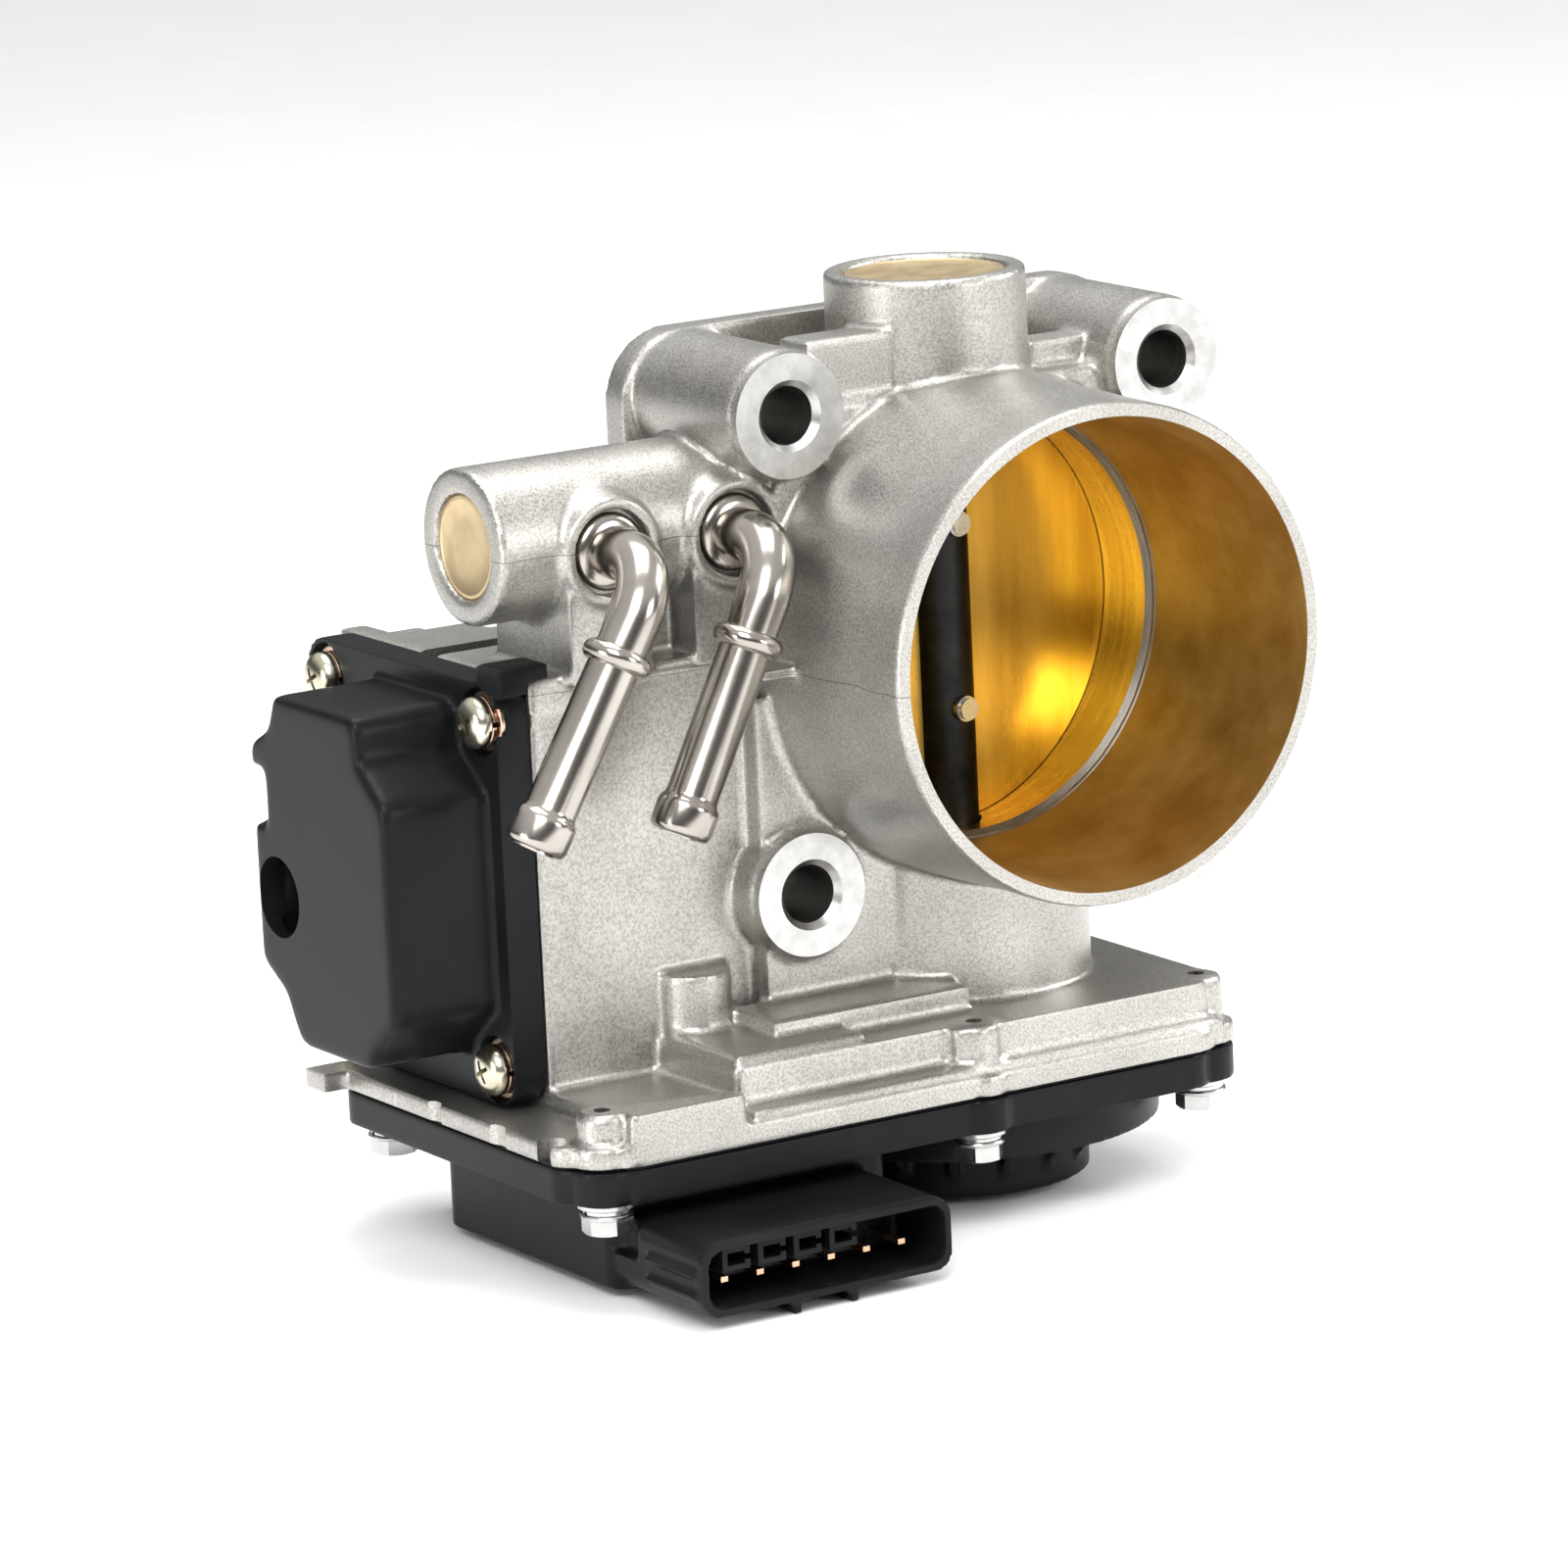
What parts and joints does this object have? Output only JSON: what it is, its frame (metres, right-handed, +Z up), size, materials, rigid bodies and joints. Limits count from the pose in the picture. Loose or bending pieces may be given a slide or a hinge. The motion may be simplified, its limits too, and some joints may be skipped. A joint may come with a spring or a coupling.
{
  "type": "electronic throttle body",
  "caption": "Electronic throttle body: cast housing with butterfly plate on a vertical shaft, geared motor drive, coolant pipes and side connector.",
  "frame": {"origin": "centre of the bore on the rear mounting face", "axes": "+Y out of the rear mounting face towards the engine, +X to the right seen from the inlet mouth, +Z up along the throttle shaft"},
  "size_m": [0.1473, 0.101, 0.1437],
  "materials": {
    "cast_aluminium": "shot-blasted die casting with machined faces",
    "plated_brass": "pressed cup, dull passivated",
    "nickel_pipe": "bright nickel plate",
    "dark_steel": "black oxide",
    "plate_metal": "brushed",
    "bright_steel": "bright",
    "seal_rubber": "matt",
    "gear_plastic": "moulded",
    "black_plastic": "moulded satin",
    "copper_pin": "bare copper alloy",
    "zinc_screw": "yellow passivated zinc"
  },
  "bodies": {
    "base": {"bearing_retaining_ring": "dark_steel", "closed_stop_pin": "bright_steel", "connector_pins": "copper_pin", "coolant_pipe_inner": "nickel_pipe", "coolant_pipe_outer": "nickel_pipe", "gear_case_cover": "black_plastic", "gear_case_gasket": "seal_rubber", "gear_cover_screws": "bright_steel", "gear_cover_washers": "bright_steel", "intermediate_gear_axle": "bright_steel", "lower_ball_bearing": "bright_steel", "lower_shaft_seal": "seal_rubber", "motor_can": "bright_steel", "motor_cover": "black_plastic", "motor_cover_gasket": "seal_rubber", "motor_cover_screws": "zinc_screw", "motor_cover_washers": "zinc_screw", "motor_end_cap": "black_plastic", "motor_magnets": "dark_steel", "motor_mount_plate": "bright_steel", "motor_mount_screws": "bright_steel", "motor_terminals": "copper_pin", "return_spring": "dark_steel", "sensor_board": "black_plastic", "side_cup_plug": "plated_brass", "spring_guide_bush": "gear_plastic", "throttle_housing": "cast_aluminium", "top_cup_plug": "plated_brass", "upper_needle_bearing": "bright_steel", "upper_shaft_seal": "seal_rubber"},
    "throttle": {"throttle_shaft": "dark_steel", "throttle_plate": "plate_metal", "plate_screws": "bright_steel", "sector_gear": "gear_plastic", "sensor_rotor_spacer": "bright_steel", "sensor_rotor": "gear_plastic"},
    "idler": {"intermediate_gear": "gear_plastic"},
    "motor": {"motor_shaft": "bright_steel", "motor_armature_core": "dark_steel", "motor_commutator": "copper_pin", "motor_pinion": "bright_steel"}
  },
  "joints": [
    {"name": "throttle_turn", "type": "hinge", "parent": "base", "child": "throttle", "pos_m": [0, -0.0205, 0], "axis": [0, 0, 1], "range_deg": [0, 83], "stiffness_Nm_per_rad": 0.03, "springref_deg": -34.38},
    {"name": "idler_turn", "type": "hinge", "parent": "base", "child": "idler", "pos_m": [-0.03483, -0.01139, -0.07], "axis": [0, 0, 1], "range_deg": [-291, 0]},
    {"name": "motor_turn", "type": "hinge", "parent": "base", "child": "motor", "pos_m": [-0.065, -0.0035, -0.04], "axis": [0, 0, 1], "range_deg": [0, 1329]}
  ],
  "couplings": [
    {"joint": "idler_turn", "follows": "throttle_turn", "ratio": -3.5},
    {"joint": "motor_turn", "follows": "throttle_turn", "ratio": 16}
  ]
}
